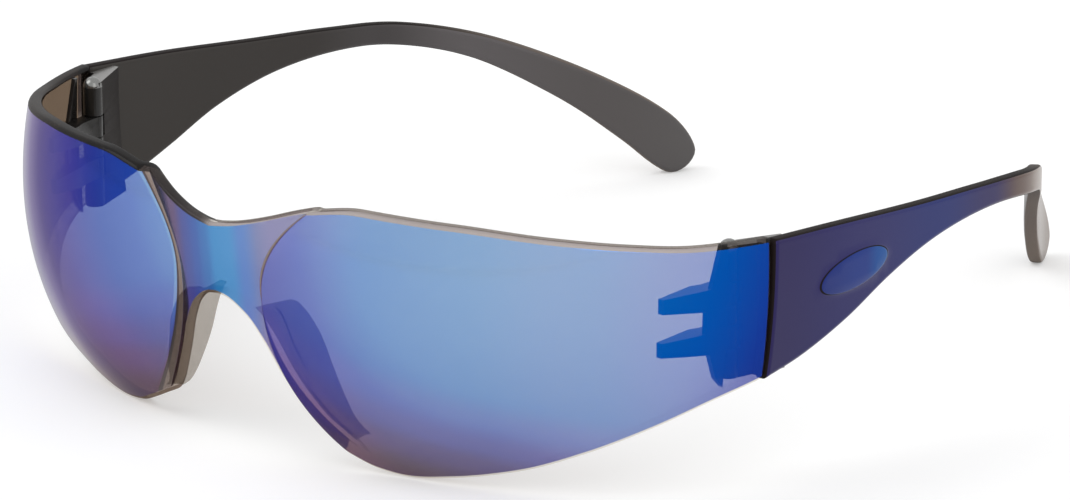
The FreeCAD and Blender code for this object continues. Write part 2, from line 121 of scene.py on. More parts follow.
# ---- hinges ----
HINGE_INSET = 5.95
HINGE_AHEAD = 3.0
BARREL_TOP_DROP = 0.5
BARREL_FOOT_DROP = 0.1
BARREL_RADIUS = 1.6
LUG_HEIGHT = 3.5
LUG_DROP = 6.6
LUG_PITCH = 7.0
LUG_PLAY = 0.1
SWING_PLAY = 0.35
BLOCK_LENGTH = 6.0
BLOCK_STEP = 0.15
BLOCK_SHOULDER = 0.8          # how far the barrel's side runs into it, in radii
BLOCK_SHOULDER_AHEAD = 0.2
BLOCK_PAINTED_LIGHT_BAND = 1.0          # faces this near its top wear painted light, a lighter copy of its finish
BLOCK_ROUNDING = 0.22
BRACKET_ROUNDING = 0.28
KNUCKLE_ROUNDING = 0.22

# ---- camera and studio ----
VIEW_AZIMUTH = math.radians(40.4)
VIEW_ELEVATION = math.radians(17.92)
VIEW_DISTANCE = 1.042
VIEW_TARGET = Vector((0.0, -0.0056, 0.01445))
FOCAL_LENGTH = 214.85
FLOOR_SHADE = 0.78
FLOOR_GLOW = 0.26             # added where the floor is seen as it is
FLOOR_GLOW_MIRRORED = 0.19    # and where it is seen in a reflection
WORLD_LIGHT = 0.85
WORLD_SEEN = 1.05             # near the floor's brightness, so the coat shows no horizon

# ---- worked out from the sizes above ----
BRIDGE_ANGLE = -math.degrees(math.asin(OCULAR_CENTRE_X / OCULAR_RADIUS))
SIDE_RADIUS = OCULAR_RADIUS - SIDE_DRAW
SIDE_ANGLE = math.degrees(math.acos((OCULAR_CENTRE_Y - SIDE_EDGE_Y) / SIDE_RADIUS))
SIDE_X = OCULAR_CENTRE_X + SIDE_RADIUS * math.sin(math.radians(SIDE_ANGLE))
HINGE_X = SIDE_X - HINGE_INSET
HINGE_Y = SIDE_EDGE_Y - HINGE_AHEAD
HINGE_TOP = LENS_SIDE_TOP - BARREL_TOP_DROP
HINGE_BOTTOM = LENS_SIDE_BOTTOM - BARREL_FOOT_DROP
TEMPLE_FRONT_Y = SIDE_EDGE_Y + EDGE_GAP
TEMPLE_END_Y = SIDE_EDGE_Y + TEMPLE_REACH
LUG_TOPS = (HINGE_TOP - LUG_DROP, HINGE_TOP - LUG_DROP - LUG_PITCH)
LUG_GAPS = [(top - LUG_HEIGHT - LUG_PLAY, top + LUG_PLAY) for top in LUG_TOPS]


# ---- curves ----

def ramp(value, low, high):
    return min(1.0, max(0.0, (value - low) / (high - low)))


def smooth(value, low, high):
    share = ramp(value, low, high)
    return share * share * (3 - 2 * share)


def spread(low, high, count):
    return [low + (high - low) * i / (count - 1) for i in range(count)]


def through(points, value):
    """Height at value on a smooth curve through points, without overshoot."""
    slopes = [(b[1] - a[1]) / (b[0] - a[0]) for a, b in zip(points, points[1:])]
    tangents = [slopes[0]]
    for before, after in zip(slopes, slopes[1:]):
        same_way = before * after > 0
        tangents.append(2 * before * after / (before + after) if same_way else 0.0)
    tangents.append(slopes[-1])
    i = 0
    while i < len(points) - 2 and value > points[i + 1][0]:
        i += 1
    step = points[i + 1][0] - points[i][0]
    t = (value - points[i][0]) / step
    return ((2 * t**3 - 3 * t**2 + 1) * points[i][1]
            + (t**3 - 2 * t**2 + t) * step * tangents[i]
            + (3 * t**2 - 2 * t**3) * points[i + 1][1]
            + (t**3 - t**2) * step * tangents[i + 1])


def rounded_line(points, steps=12):
    """A smooth line through points, as many short pieces (centripetal)."""
    ends = [2 * points[0] - points[1]] + points + [2 * points[-1] - points[-2]]
    line = []
    for a, b, c, d in zip(ends, ends[1:], ends[2:], ends[3:]):
        t1 = math.sqrt((b - a).length)
        t2 = t1 + math.sqrt((c - b).length)
        t3 = t2 + math.sqrt((d - c).length)
        for t in spread(t1, t2, steps + 1)[:-1]:
            ab = a.lerp(b, t / t1)
            bc = b.lerp(c, (t - t1) / (t2 - t1))
            cd = c.lerp(d, (t - t2) / (t3 - t2))
            left = ab.lerp(bc, t / t2)
            right = bc.lerp(cd, (t - t1) / (t3 - t1))
            line.append(left.lerp(right, (t - t1) / (t2 - t1)))
    return line + [points[-1]]


def evenly(line, spacing):
    """The line with points at even steps; its two ends stay."""
    lengths = [0.0]
    for a, b in zip(line, line[1:]):
        lengths.append(lengths[-1] + (b - a).length)
    count = max(1, round(lengths[-1] / spacing))
    out, i = [], 0
    for k in range(count):
        at = lengths[-1] * k / count
        while lengths[i + 1] < at:
            i += 1
        share = (at - lengths[i]) / max(lengths[i + 1] - lengths[i], 1e-9)
        out.append(line[i].lerp(line[i + 1], share))
    return out + [line[-1]]


def closed_outline(lines, spacing):
    """One closed loop from lines that follow each other, corners kept."""
    loop = []
    for line in lines:
        loop += evenly(line, spacing)[:-1]
    return loop


def moved_inwards(loop, distance):
    """A closed loop moved to its left side."""
    moved = []
    for i, b in enumerate(loop):
        a, c = loop[i - 1], loop[(i + 1) % len(loop)]
        before = Vector((a.y - b.y, b.x - a.x)).normalized()
        after = Vector((b.y - c.y, c.x - b.x)).normalized()
        moved.append(b + (before + after) * distance / (1 + before.dot(after)))
    return moved


def distances_to(loop, points):
    """Distance of each point to the closed loop."""
    p = np.array([tuple(v) for v in points])
    best = np.full(len(p), 1e9)
    for a, b in zip(loop, loop[1:] + loop[:1]):
        a, b = np.array(tuple(a)), np.array(tuple(b))
        along = np.clip(((p - a) @ (b - a)) / ((b - a) @ (b - a)), 0, 1)
        gap = np.linalg.norm(p - a - along[:, None] * (b - a), axis=1)
        best = np.minimum(best, gap)
    return best


def inside(loop, points):
    """Which points lie inside the closed loop."""
    p = np.array([tuple(v) for v in points])
    odd = np.zeros(len(p), bool)
    for a, b in zip(loop, loop[1:] + loop[:1]):
        crosses = (p[:, 1] < a.y) != (p[:, 1] < b.y)
        if a.y != b.y:
            x = a.x + (p[:, 1] - a.y) * (b.x - a.x) / (b.y - a.y)
            odd ^= crosses & (p[:, 0] < x)
    return odd


# ---- walls with rounded edges ----

OUTSIDE, INSIDE, EDGE = 0, 1, 2                 # what the faces of a wall wear
BRIDGE, CREASE_SIDE, CREASE_SHADE = 3, 4, 5      # more of the lens
MEDALLION, MEDALLION_RING = 3, 4                # more of a temple
ROW_PITCH = 0.87              # rows of the grid, as a share of its spacing
LINE_CLEARANCE = 0.4          # from a line to the nearest loose point, likewise
RIM_BAND = 1.25               # how far the loops round the rim reach, in roundings


def flat_net(outline, loops, lines, spacing, rim_band):
    """Triangles over a flat outline, which keep to the loops and lines.

    lines holds pairs of a line and whether it is closed. The even points between
    them stay more than rim_band from the outline.
    """
    points, edges = [], []
    for line, closed in [(loop, True) for loop in loops] + lines:
        first = len(points)
        points.extend(line)
        edges.extend((i, i + 1) for i in range(first, len(points) - 1))
        if closed:
            edges.append((len(points) - 1, first))
    lows = [min(p[k] for p in outline) for k in (0, 1)]
    highs = [max(p[k] for p in outline) for k in (0, 1)]
    rows = int((highs[1] - lows[1]) / (ROW_PITCH * spacing))
    columns = int((highs[0] - lows[0]) / spacing)
    grid = [Vector((lows[0] + (i + 0.5 * (j % 2)) * spacing,
                    lows[1] + j * ROW_PITCH * spacing))
            for j in range(rows + 1) for i in range(columns + 1)]
    clear = inside(outline, grid) & (distances_to(outline, grid) > rim_band + 0.5 * spacing)
    for line, closed in lines:
        around = line if closed else line + line[-2:0:-1]
        clear &= distances_to(around, grid) > LINE_CLEARANCE * spacing
    points.extend(p for p, keep in zip(grid, clear) if keep)
    flat, _, faces, _, _, _ = geometry.delaunay_2d_cdt(points, edges, [], 1, 1e-5)
    middles = [(flat[f[0]] + flat[f[1]] + flat[f[2]]) / 3 for f in faces]
    return flat, [f for f, keep in zip(faces, inside(outline, middles)) if keep]


def rounded_wall(name, outline, lines, spacing, thickness, rounding, rim, place, part_of):
    """A closed wall over a flat outline, its rim rounded on both sides.

    place(u, v, depth) gives a point in space; part_of(u, v) says what the outer
    side wears there. The edge reaches rim onto both sides.
    """
    loops = [moved_inwards(outline, rounding * (1 - math.cos(a)))
             for a in spread(0.0, math.pi / 2, 5)]
    loops.append(moved_inwards(outline, RIM_BAND * rounding))
    flat, faces = flat_net(outline, loops, lines, spacing, RIM_BAND * rounding)
    to_rim = distances_to(outline, flat)
    drop = [rounding - math.sqrt(max(0.0, rounding**2 - (rounding - min(d, rounding))**2))
            for d in to_rim]

    mesh = bmesh.new()
    outer = [mesh.verts.new(place(p.x, p.y, s) * MM) for p, s in zip(flat, drop)]
    inner = [mesh.verts.new(place(p.x, p.y, thickness - s) * MM)
             for p, s in zip(flat, drop)]
    once = {}
    for f in faces:
        middle = (flat[f[0]] + flat[f[1]] + flat[f[2]]) / 3
        near_rim = min(to_rim[i] for i in f) < rim
        front = mesh.faces.new([outer[i] for i in f])
        front.material_index = EDGE if near_rim else part_of(middle.x, middle.y)
        back = mesh.faces.new([inner[i] for i in reversed(f)])
        back.material_index = EDGE if near_rim else INSIDE
        for a, b in zip(f, f[1:] + f[:1]):
            if (b, a) in once:
                del once[(b, a)]
            else:
                once[(a, b)] = True
    for a, b in once:
        edge = mesh.faces.new([outer[b], outer[a], inner[a], inner[b]])
        edge.material_index = EDGE
    loose = [v for v in mesh.verts if not v.link_faces]
    bmesh.ops.delete(mesh, geom=loose, context="VERTS")
    bmesh.ops.recalc_face_normals(mesh, faces=mesh.faces)
    return finished(name, mesh)


def in_scene(name, data):
    holder = bpy.data.objects.new(name, data)
    bpy.context.scene.collection.objects.link(holder)
    return holder


def finished(name, mesh):
    """Turns a bmesh into a smooth-shaded piece of the scene."""
    data = bpy.data.meshes.new(name)
    mesh.to_mesh(data)
    mesh.free()
    data.polygons.foreach_set("use_smooth", [True] * len(data.polygons))
    return in_scene(name, data)


def mirror_image(piece, name):
    """The same piece on the other side of the plane of symmetry."""
    mesh = bmesh.new()
    mesh.from_mesh(piece.data)
    for vertex in mesh.verts:
        vertex.co.x = -vertex.co.x
    bmesh.ops.reverse_faces(mesh, faces=mesh.faces)
    twin = finished(name, mesh)
    for material in piece.data.materials:
        twin.data.materials.append(material)
    return twin


# ---- lens shape ----

def axis_y(z):
    return OCULAR_CENTRE_Y + RAKE * (z - OCULAR_CENTRE_Z)


def side_edge_y(z):
    return SIDE_EDGE_Y + SIDE_EDGE_LEAN * (OCULAR_CENTRE_Z - z)


def shell_reach(angle, z, depth):
    drop = 1 - math.sqrt(1 - ((z - OCULAR_CENTRE_Z) / (OCULAR_RADIUS_UP - depth)) ** 2)
    side = smooth(angle, FLAT_START, SIDE_ANGLE)
    bow = 1 - SIDE_FLATTENING * side
    return (OCULAR_RADIUS - depth) * (1 - bow * drop) - SIDE_DRAW * side


def side_angle(z, depth, y):
    return math.degrees(math.acos((axis_y(z) - y) / shell_reach(SIDE_ANGLE, z, depth)))


def crease_x(z):
    curl = CREASE_RADIUS_ABOVE if z > CREASE_Z else CREASE_RADIUS_BELOW
    return CREASE_X + (z - CREASE_Z) ** 2 / (2 * curl)


def column_at(x):
    return math.degrees(math.asin((x - OCULAR_CENTRE_X) / OCULAR_RADIUS))


def lens_point(column, z, depth=0.0):
    """A point of the +X half. column is the angle from straight ahead."""
    angle = column
    if column > FRONT_ANGLE:
        last = side_angle(z, depth, side_edge_y(z))
        share = (column - FRONT_ANGLE) / (SIDE_ANGLE - FRONT_ANGLE)
        angle = FRONT_ANGLE + share * (last - FRONT_ANGLE)
    reach = shell_reach(angle, z, depth)
    radius = OCULAR_RADIUS - depth
    across = radius + (reach - radius) * smooth(angle, 0.0, SMOOTH_START)
    across *= math.sin(math.radians(angle))
    ahead = math.sqrt(reach ** 2 - across ** 2)
    x = OCULAR_CENTRE_X + across if column > BRIDGE_ANGLE else 0.0
    y = axis_y(z) - ahead
    apex_y = OCULAR_CENTRE_Y - OCULAR_RADIUS
    bridge_y = (apex_y - BRIDGE_REACH + depth + x ** 2 / (2 * BRIDGE_RADIUS)
                + BRIDGE_SLOPE * (BRIDGE_TOP - z))
    inward = smooth(depth, 0.3 * LENS_THICKNESS, 0.7 * LENS_THICKNESS)
    half = (CREASE_WALL + (INSIDE_CREASE - CREASE_WALL) * inward) / 2
    sharp = ramp(x, crease_x(z) - half, crease_x(z) + half)
    soft = smooth(x, crease_x(z) - half, crease_x(z) + half)
    share = 1 - (sharp + (soft - sharp) * inward)
    return Vector((x, y + (bridge_y - y) * share, z))


def lens_top(column):
    rise = LENS_TOP - BRIDGE_TOP
    fall = LENS_TOP - LENS_SIDE_TOP
    bridge = [(0.235, 0.12), (0.519, 0.35), (0.809, 0.63), (1.0, 0.77)]
    side = [(0.115, 0.0), (0.320, 0.08), (0.525, 0.38), (0.690, 0.67), (0.830, 0.90)]
    points = [(BRIDGE_ANGLE, BRIDGE_TOP)]
    points += [(BRIDGE_ANGLE * (1 - at), BRIDGE_TOP + rise * share) for at, share in bridge]
    points += [(SIDE_ANGLE * at, LENS_TOP - fall * share) for at, share in side]
    return through(points + [(SIDE_ANGLE, LENS_SIDE_TOP)], column)


def lens_bottom(column):
    notch = column_at(NOSE_NOTCH_HALF_WIDTH)
    nose = [(0.0, 1.0), (0.096, 0.99), (0.30, 0.90), (0.446, 0.755), (0.588, 0.55),
            (0.729, 0.385), (0.864, 0.255), (1.0, 0.17)]
    side = [(0.190, 0.0), (0.342, 0.062), (0.503, 0.208), (0.634, 0.428), (0.758, 0.66),
            (0.888, 0.878), (1.0, 1.0)]
    points = [(BRIDGE_ANGLE + (notch - BRIDGE_ANGLE) * at, BRIDGE_BOTTOM * share)
              for at, share in nose]
    run = SIDE_ANGLE - notch
    points += [(notch + run * 0.044, 0.10 * BRIDGE_BOTTOM),
               (notch + run * 0.107, 0.025 * BRIDGE_BOTTOM)]
    points += [(notch + run * at, LENS_SIDE_BOTTOM * share) for at, share in side]
    return through(points, column)


def along(column):
    """Distance of a column from the middle of the bridge, round the shell."""
    return OCULAR_RADIUS * math.radians(column - BRIDGE_ANGLE)


def column_of(distance):
    return BRIDGE_ANGLE + math.degrees(distance / OCULAR_RADIUS)


def place_on_lens(u, z, depth):
    point = lens_point(column_of(abs(u)), z, depth)
    return Vector((math.copysign(point.x, u), point.y, point.z))


def lens_outline():
    columns = spread(BRIDGE_ANGLE, SIDE_ANGLE, 300)
    top = [Vector((along(c), lens_top(c))) for c in columns]
    bottom = [Vector((along(c), lens_bottom(c))) for c in columns]
    side = [bottom[-1], top[-1]]
    flip = [[Vector((-p.x, p.y)) for p in line] for line in (bottom, side, top)]
    return closed_outline([bottom, side, top[::-1], flip[2], flip[1][::-1],
                           flip[0][::-1]], LENS_OUTLINE_STEP)


def crease_line(shift, side):
    """The line round an ocular, moved towards it by shift."""
    heights = spread(CREASE_START, CREASE_END, 90)
    line = [Vector((side * along(column_at(crease_x(z) + shift)), z)) for z in heights]
    return evenly(line, LENS_OUTLINE_STEP)


def make_lens():
    """The lens; its creases and their walls follow lines of the mesh."""
    outline = lens_outline()
    lines = []
    half = CREASE_WALL / 2
    shifts = (-half - CREASE_GUARD, -half, 0.0, CREASE_SHADE_WIDTH, half, half + CREASE_SHADE_WIDTH)
    for side in (1, -1):
        for shift in shifts:
            line = crease_line(shift, side)
            keep = inside(outline, line) & (distances_to(outline, line) > 0.05)
            lines.append(([p for p, k in zip(line, keep) if k], False))

    def part_of(u, z):
        past_crease = lens_point(column_of(abs(u)), z).x - crease_x(z)
        if past_crease > 0:
            # a strip of painted shade at the foot of the crease wall
            return CREASE_SHADE if past_crease < CREASE_SHADE_WIDTH else OUTSIDE
        return CREASE_SIDE if past_crease > -half else BRIDGE

    return rounded_wall("lens_shell", outline, lines, LENS_GRID, LENS_THICKNESS,
                        EDGE_ROUNDING, 0.9 * EDGE_ROUNDING, place_on_lens, part_of)


# ---- temple shape ----

def temple_x(back):
    run = TEMPLE_REACH - BEND_BACK
    turn = TURN_IN - TAPER_IN
    bend = [(0.0, 0.0), (0.075, 0.023), (0.149, 0.059), (0.224, 0.116), (0.299, 0.191),
            (0.364, 0.267), (0.429, 0.347), (0.578, 0.551), (0.690, 0.696), (0.802, 0.828),
            (0.914, 0.937), (1.0, 1.0), (1.08, 1.057)]
    straight = [(-4.0, 0.0), (0.23 * BEND_BACK, 0.05), (0.63 * BEND_BACK, 0.41)]
    points = [(at, -TAPER_IN * share) for at, share in straight]
    points += [(BEND_BACK + run * at, -TAPER_IN - turn * share) for at, share in bend]
    return SIDE_X + TEMPLE_STEP + through(points, back)


def temple_point(back, z, depth):
    bow = SIDE_RADIUS - shell_reach(SIDE_ANGLE, z, 0.0)
    fade = 1 - smooth(back, 0.0, WAIST_BACK)
    step = 0.5
    slope = (temple_x(back + step) - temple_x(back - step)) / (2 * step)
    length = math.hypot(1.0, slope)
    y = SIDE_EDGE_Y + back
    return Vector((temple_x(back) - bow * fade - depth / length,
                   y + depth * slope / length, z))


def temple_outline():
    """Side view of the temple: distance back and height."""
    waist_bottom = WAIST_TOP - WAIST_HEIGHT
    run = TEMPLE_REACH - WAIST_BACK
    front_drop = TEMPLE_FRONT_TOP - WAIST_TOP
    front_rise = waist_bottom - TEMPLE_FRONT_BOTTOM
    top = [(0.0, TEMPLE_FRONT_TOP), (0.32 * WAIST_BACK, TEMPLE_FRONT_TOP - 0.28 * front_drop),
           (0.68 * WAIST_BACK, TEMPLE_FRONT_TOP - 0.68 * front_drop)]
    tail = [(0.0, 1.0), (0.255, 0.943), (0.474, 0.835), (0.682, 0.644), (0.885, 0.392),
            (0.951, 0.275), (0.99, 0.165), (1.0, 0.10)]
    top += [(WAIST_BACK + run * at, WAIST_TOP * share) for at, share in tail]
    tail = [(0.987, 0.055), (0.960, 0.012), (0.925, 0.001), (0.885, 0.055), (0.794, 0.25),
            (0.649, 0.531), (0.44, 0.825), (0.214, 0.959), (0.0, 1.0)]
    bottom = [(WAIST_BACK + run * at, waist_bottom * share) for at, share in tail]
    rise = [(0.75, 0.93), (0.53, 0.70), (0.33, 0.365), (0.145, 0.115), (0.0, 0.0)]
    bottom += [(WAIST_BACK * at, TEMPLE_FRONT_BOTTOM + front_rise * share)
               for at, share in rise]
    points = [Vector(p) for p in top + bottom]
    for end in (0, -1):
        points[end].x = side_edge_y(points[end].y) + EDGE_GAP - SIDE_EDGE_Y
    front = [points[-1], points[0]]
    return closed_outline([rounded_line(points), front], TEMPLE_OUTLINE_STEP)[::-1]


def medallion_share(back, z):
    """1 at the rim of the oval, less inside it."""
    turn_z = z - MEDALLION_CENTRE_Z
    turn_y = back - MEDALLION_BACK
    long = turn_y * math.cos(MEDALLION_TILT) + turn_z * math.sin(MEDALLION_TILT)
    high = turn_z * math.cos(MEDALLION_TILT) - turn_y * math.sin(MEDALLION_TILT)
    return math.hypot(2 * long / MEDALLION_LENGTH, 2 * high / MEDALLION_HEIGHT)


def medallion_loop(scale, count=48):
    cos, sin = math.cos(MEDALLION_TILT), math.sin(MEDALLION_TILT)
    loop = []
    for i in range(count):
        turn = 2 * math.pi * i / count
        long = scale * MEDALLION_LENGTH / 2 * math.cos(turn)
        high = scale * MEDALLION_HEIGHT / 2 * math.sin(turn)
        loop.append(Vector((MEDALLION_BACK + long * cos - high * sin,
                            MEDALLION_CENTRE_Z + high * cos + long * sin)))
    return loop


def place_on_temple(back, z, depth):
    raised = 1 - smooth(medallion_share(back, z), 0.93, 1.03)
    outside = 1 - ramp(depth, 0.0, 0.5 * TEMPLE_THICKNESS)
    return temple_point(back, z, depth - MEDALLION_RELIEF * raised * outside)


def make_temple_blade():
    loops = [(medallion_loop(scale), True) for scale in (0.92, 0.96, 1.0, 1.04)]

    def part_of(back, z):
        share = medallion_share(back, z)
        if share < MEDALLION_RING_FROM:
            return MEDALLION
        return MEDALLION_RING if share < 1.0 else OUTSIDE

    return rounded_wall("temple_blade_left", temple_outline(), loops, TEMPLE_GRID,
                        TEMPLE_THICKNESS, TEMPLE_ROUNDING, 0.2 * TEMPLE_ROUNDING,
                        place_on_temple, part_of)


# ---- nose pieces ----

def notch_column(z):
    """Column at which the nose notch has the height z."""
    low, high = BRIDGE_ANGLE, 2.0
    for _ in range(40):
        middle = (low + high) / 2
        if lens_bottom(middle) > z:
            low = middle
        else:
            high = middle
    return low


def nose_section(z, share):
    """Level cross-section: a leaf that lies on the lens, and a flange."""
    rise = NOSE_TOP_SWELL - NOSE_FOOT_SWELL
    swell = math.sin(math.pi * (NOSE_FOOT_SWELL + rise * share))
    corner = lens_point(notch_column(z), z).x + NOSE_INSET
    root = corner + NOSE_WALL * (1 + NOSE_FLARE)
    far = root + NOSE_LEAF_WIDTH * swell
    depth = NOSE_WALL + NOSE_FLANGE_DEPTH * swell
    behind = SEAT_DEPTH + NOSE_WALL
    seat = [lens_point(column_at(x), z, SEAT_DEPTH) for x in spread(corner, far, 6)]
    middle = lens_point(column_at(corner), z, LENS_THICKNESS / 2)
    tip = middle + Vector((NOSE_FLARE * depth, LENS_THICKNESS / 2 + depth, 0))
    wall = Vector((NOSE_WALL, 0, 0))
    fillet = lens_point(column_at(root), z, behind)
    return seat + [lens_point(column_at(far), z, SEAT_DEPTH + NOSE_WALL / 2),
                   lens_point(column_at((root + far) / 2), z, behind),
                   fillet, fillet.lerp(tip + wall, 0.5), tip + wall, tip,
                   tip.lerp(seat[0], 0.5)]


def lofted(name, sections):
    """A closed body through sections with the same number of points."""
    mesh = bmesh.new()
    rings = [[mesh.verts.new(p * MM) for p in section] for section in sections]
    for below, above in zip(rings, rings[1:]):
        for i in range(len(below)):
            mesh.faces.new([below[i - 1], below[i], above[i], above[i - 1]])
    mesh.faces.new(rings[0][::-1])
    mesh.faces.new(rings[-1])
    bmesh.ops.recalc_face_normals(mesh, faces=mesh.faces)
    return finished(name, mesh)


def rounded_off(piece, width, turn=25.0):
    """The piece with its edges rounded, as one plain mesh."""
    bevel = piece.modifiers.new("rounding", "BEVEL")
    bevel.width = width * MM
    bevel.segments = 3
    bevel.angle_limit = math.radians(turn)
    bevel.use_clamp_overlap = True
    even = piece.modifiers.new("shading", "WEIGHTED_NORMAL")
    even.keep_sharp = False
    settle(piece)


def settle(piece):
    """Turns the piece's modifiers into its mesh."""
    found = piece.evaluated_get(bpy.context.evaluated_depsgraph_get())
    mesh = bpy.data.meshes.new_from_object(found)
    piece.modifiers.clear()
    piece.data = mesh


def make_nose_piece():
    levels = spread(NOSE_BOTTOM, NOSE_TOP, 25)
    sections = [nose_section(z, i / (len(levels) - 1)) for i, z in enumerate(levels)]
    piece = lofted("nose_pad_left", sections)
    rounded_off(piece, NOSE_ROUNDING)
    return piece


# ---- hinges ----

def block_section(z):
    """Plan of the hinge block: from the barrel to the inside of the temple."""
    gap = side_edge_y(z) + EDGE_GAP + BLOCK_STEP
    half_wall = TEMPLE_THICKNESS / 2
    inner = lens_point(SIDE_ANGLE, z, LENS_THICKNESS + SWING_PLAY)
    front = gap - SIDE_EDGE_Y
    return [Vector((HINGE_X - BARREL_RADIUS, HINGE_Y, z)),
            Vector((HINGE_X + BLOCK_SHOULDER * BARREL_RADIUS,
                    HINGE_Y - BLOCK_SHOULDER_AHEAD, z)),
            Vector((inner.x, gap, z)),
            temple_point(front, z, half_wall), temple_point(BLOCK_LENGTH, z, half_wall),
            temple_point(BLOCK_LENGTH, z, half_wall + TEMPLE_THICKNESS)]


def lathe(name, profile, x, y, steps=40):
    """A closed turned body about an upright axis; profile is (radius, z)."""
    mesh = bmesh.new()
    turns = [2 * math.pi * i / steps for i in range(steps)]
    rings = []
    for radius, z in profile:
        spots = [(x + radius * math.cos(a), y + radius * math.sin(a), z) for a in turns]
        if radius == 0:
            spots = spots[:1]
        rings.append([mesh.verts.new(Vector(spot) * MM) for spot in spots])
    for below, above in zip(rings, rings[1:]):
        for i in range(steps):
            corners = [below[i % len(below)], below[(i + 1) % len(below)],
                       above[(i + 1) % len(above)], above[i % len(above)]]
            mesh.faces.new(list(dict.fromkeys(corners)))
    bmesh.ops.recalc_face_normals(mesh, faces=mesh.faces)
    return finished(name, mesh)


def cut_from(piece, cutters):
    for cutter in cutters:
        cut = piece.modifiers.new("cut", "BOOLEAN")
        cut.operation = "DIFFERENCE"
        cut.solver = "EXACT"
        cut.object = cutter
    settle(piece)
    for cutter in cutters:
        bpy.data.objects.remove(cutter)


def make_hinge_block():
    top = HINGE_TOP - BARREL_RADIUS / 2
    sections = [block_section(z) for z in spread(HINGE_BOTTOM, top, 12)]
    block = lofted("hinge_block_left", sections)
    reach = BARREL_RADIUS + SWING_PLAY
    cut_from(block, [lathe("cutter", [(0, low), (reach, low), (reach, high), (0, high)],
                           HINGE_X, HINGE_Y) for low, high in LUG_GAPS])
    rounded_off(block, BLOCK_ROUNDING, 30.0)
    # upward faces near the top take the lighter copy: painted light
    for face in block.data.polygons:
        on_top = face.normal.z > 0.8 and face.center.z > (top - BLOCK_PAINTED_LIGHT_BAND) * MM
        face.material_index = int(on_top)
    return block


def knuckle_tree():
    """Geometry nodes for one turned knuckle: a bar whose two ends are eased off."""
    tree = bpy.data.node_groups.new("knuckle", "GeometryNodeTree")
    add_sockets(tree, "INPUT", Geometry="Geometry", Foot="Vector", Length="Float",
                Radius="Float", Foot_Easing="Float", Top_Easing="Float", Material="Material")
    add_sockets(tree, "OUTPUT", Geometry="Geometry")
    inputs = tree.nodes.new("NodeGroupInput").outputs
    outputs = tree.nodes.new("NodeGroupOutput")
    link = tree.links.new

    axis = node(tree, "GeometryNodeCurvePrimitiveLine", mode="DIRECTION")
    axis.inputs["Direction"].default_value = (0, 0, 1)
    link(inputs["Length"], axis.inputs["Length"])
    fine = node(tree, "GeometryNodeResampleCurve", Count=160)
    link(axis.outputs[0], fine.inputs["Curve"])
    place = tree.nodes.new("GeometryNodeSplineParameter")
    up = place.outputs["Length"]
    down = number(tree, "SUBTRACT", inputs["Length"], up)
    width = inputs["Radius"]
    for reach, easing in ((up, "Foot Easing"), (down, "Top Easing")):
        ease = inputs[easing]
        left = number(tree, "MAXIMUM", number(tree, "SUBTRACT", ease, reach), 0.0)
        square = number(tree, "SUBTRACT", number(tree, "MULTIPLY", ease, ease),
                        number(tree, "MULTIPLY", left, left))
        root = number(tree, "SQRT", number(tree, "MAXIMUM", square, 0.0))
        width = number(tree, "ADD", number(tree, "SUBTRACT", width, ease), root)
    ring = node(tree, "GeometryNodeCurvePrimitiveCircle", Resolution=48, Radius=1.0)
    body = node(tree, "GeometryNodeCurveToMesh", Fill_Caps=True)
    link(fine.outputs[0], body.inputs["Curve"])
    link(ring.outputs[0], body.inputs["Profile Curve"])
    link(width, body.inputs["Scale"])
    spot = node(tree, "GeometryNodeMeshLine", mode="OFFSET", Count=1)
    link(inputs["Foot"], spot.inputs["Start Location"])
    copies = tree.nodes.new("GeometryNodeInstanceOnPoints")
    link(spot.outputs[0], copies.inputs["Points"])
    link(body.outputs[0], copies.inputs["Instance"])
    real = tree.nodes.new("GeometryNodeRealizeInstances")
    link(copies.outputs[0], real.inputs[0])
    dressed = tree.nodes.new("GeometryNodeSetMaterial")
    link(real.outputs[0], dressed.inputs["Geometry"])
    link(inputs["Material"], dressed.inputs["Material"])
    link(dressed.outputs[0], outputs.inputs[0])
    return tree


def grown(name, tree, values):
    """A mesh made by a node tree from named values."""
    piece = in_scene(name, bpy.data.meshes.new(name))
    growth = piece.modifiers.new("growth", "NODES")
    growth.node_group = tree
    for socket in tree.interface.items_tree:
        if socket.in_out == "INPUT" and socket.name in values:
            growth[socket.identifier] = values[socket.name]
    settle(piece)
    return piece


def make_barrel(body, painted_highlight):
    """The temple's three knuckles round the hinge pin, the top one domed; its dome wears a grey
    metal finish, a painted highlight.
    """
    tree = knuckle_tree()
    dome_foot = HINGE_TOP - BARREL_RADIUS
    upper, lower = LUG_GAPS
    mesh = bmesh.new()
    for low, high in ((HINGE_BOTTOM, lower[0]), (lower[1], upper[0]), (upper[1], HINGE_TOP)):
        top_ease = BARREL_RADIUS if high == HINGE_TOP else KNUCKLE_ROUNDING
        knuckle = grown("knuckle", tree, {
            "Foot": (HINGE_X * MM, HINGE_Y * MM, low * MM), "Length": (high - low) * MM,
            "Radius": BARREL_RADIUS * MM, "Foot Easing": KNUCKLE_ROUNDING * MM,
            "Top Easing": top_ease * MM, "Material": body})
        mesh.from_mesh(knuckle.data)
        bpy.data.objects.remove(knuckle)
    bmesh.ops.remove_doubles(mesh, verts=mesh.verts, dist=0.0005 * MM)
    bmesh.ops.recalc_face_normals(mesh, faces=mesh.faces)
    # faces of the dome take the painted highlight
    for face in mesh.faces:
        face.material_index = int(face.calc_center_median().z > dome_foot * MM)
    piece = finished("hinge_barrel_left", mesh)
    clothe(piece, body, painted_highlight)
    return piece


